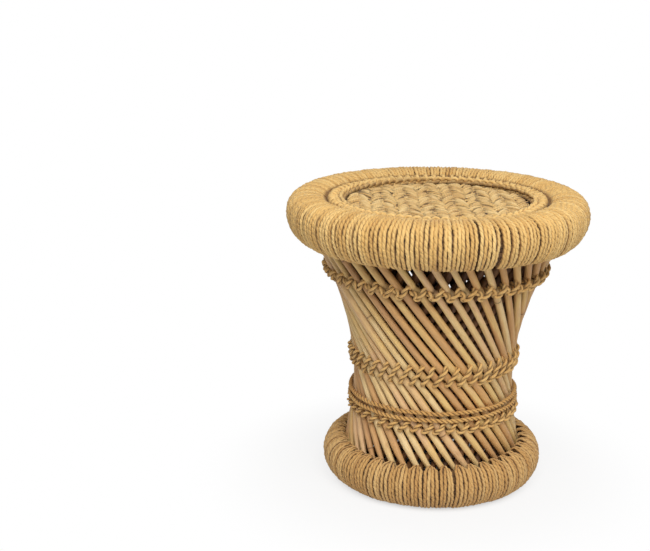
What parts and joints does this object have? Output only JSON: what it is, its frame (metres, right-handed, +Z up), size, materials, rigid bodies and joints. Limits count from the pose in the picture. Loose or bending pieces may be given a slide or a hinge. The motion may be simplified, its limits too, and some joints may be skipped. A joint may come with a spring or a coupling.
{
  "type": "mudda stool",
  "caption": "Round woven cane stool with a narrow waist, wrapped cord rings at seat and base, and a woven cord seat.",
  "frame": {"origin": "middle of the base ring's footprint, on the ground", "axes": "+Z up along the stool's axis of symmetry, X and Y across the seat"},
  "size_m": [0.35, 0.35, 0.35],
  "materials": {
    "outer_cane": "bare dried cane, satin",
    "inner_cane": "bare dried cane, satin",
    "hoop_cane": "bare bent cane, matte",
    "ring_cord": "twisted grass cord, matte",
    "lashing_cord": "twisted grass cord, matte",
    "seat_cord": "twined grass cord, matte",
    "grass": "dry grass bundle, matte"
  },
  "bodies": {
    "root": {"outer_cane_01": "outer_cane", "outer_cane_02": "outer_cane", "outer_cane_03": "outer_cane", "outer_cane_04": "outer_cane", "outer_cane_05": "outer_cane", "outer_cane_06": "outer_cane", "outer_cane_07": "outer_cane", "outer_cane_08": "outer_cane", "outer_cane_09": "outer_cane", "outer_cane_10": "outer_cane", "outer_cane_11": "outer_cane", "outer_cane_12": "outer_cane", "outer_cane_13": "outer_cane", "outer_cane_14": "outer_cane", "outer_cane_15": "outer_cane", "outer_cane_16": "outer_cane", "outer_cane_17": "outer_cane", "outer_cane_18": "outer_cane", "outer_cane_19": "outer_cane", "outer_cane_20": "outer_cane", "outer_cane_21": "outer_cane", "outer_cane_22": "outer_cane", "outer_cane_23": "outer_cane", "outer_cane_24": "outer_cane", "outer_cane_25": "outer_cane", "outer_cane_26": "outer_cane", "outer_cane_27": "outer_cane", "outer_cane_28": "outer_cane", "outer_cane_29": "outer_cane", "outer_cane_30": "outer_cane", "outer_cane_31": "outer_cane", "outer_cane_32": "outer_cane", "outer_cane_33": "outer_cane", "outer_cane_34": "outer_cane", "outer_cane_35": "outer_cane", "outer_cane_36": "outer_cane", "outer_cane_37": "outer_cane", "outer_cane_38": "outer_cane", "outer_cane_39": "outer_cane", "outer_cane_40": "outer_cane", "outer_cane_41": "outer_cane", "outer_cane_42": "outer_cane", "outer_cane_43": "outer_cane", "outer_cane_44": "outer_cane", "inner_canes": "inner_cane", "seat_outer_hoop": "hoop_cane", "seat_inner_hoop": "hoop_cane", "base_outer_hoop": "hoop_cane", "seat_ring_core": "grass", "base_ring_core": "grass", "seat_ring_wrap": "ring_cord", "base_ring_wrap": "ring_cord", "lashing_row_top": "lashing_cord", "lashing_row_waist": "lashing_cord", "lashing_row_low": "lashing_cord", "girdle_cord_upper": "lashing_cord", "girdle_cord_lower": "lashing_cord", "seat_mat_rim": "seat_cord", "seat_mat": "seat_cord"}
  },
  "joints": []
}
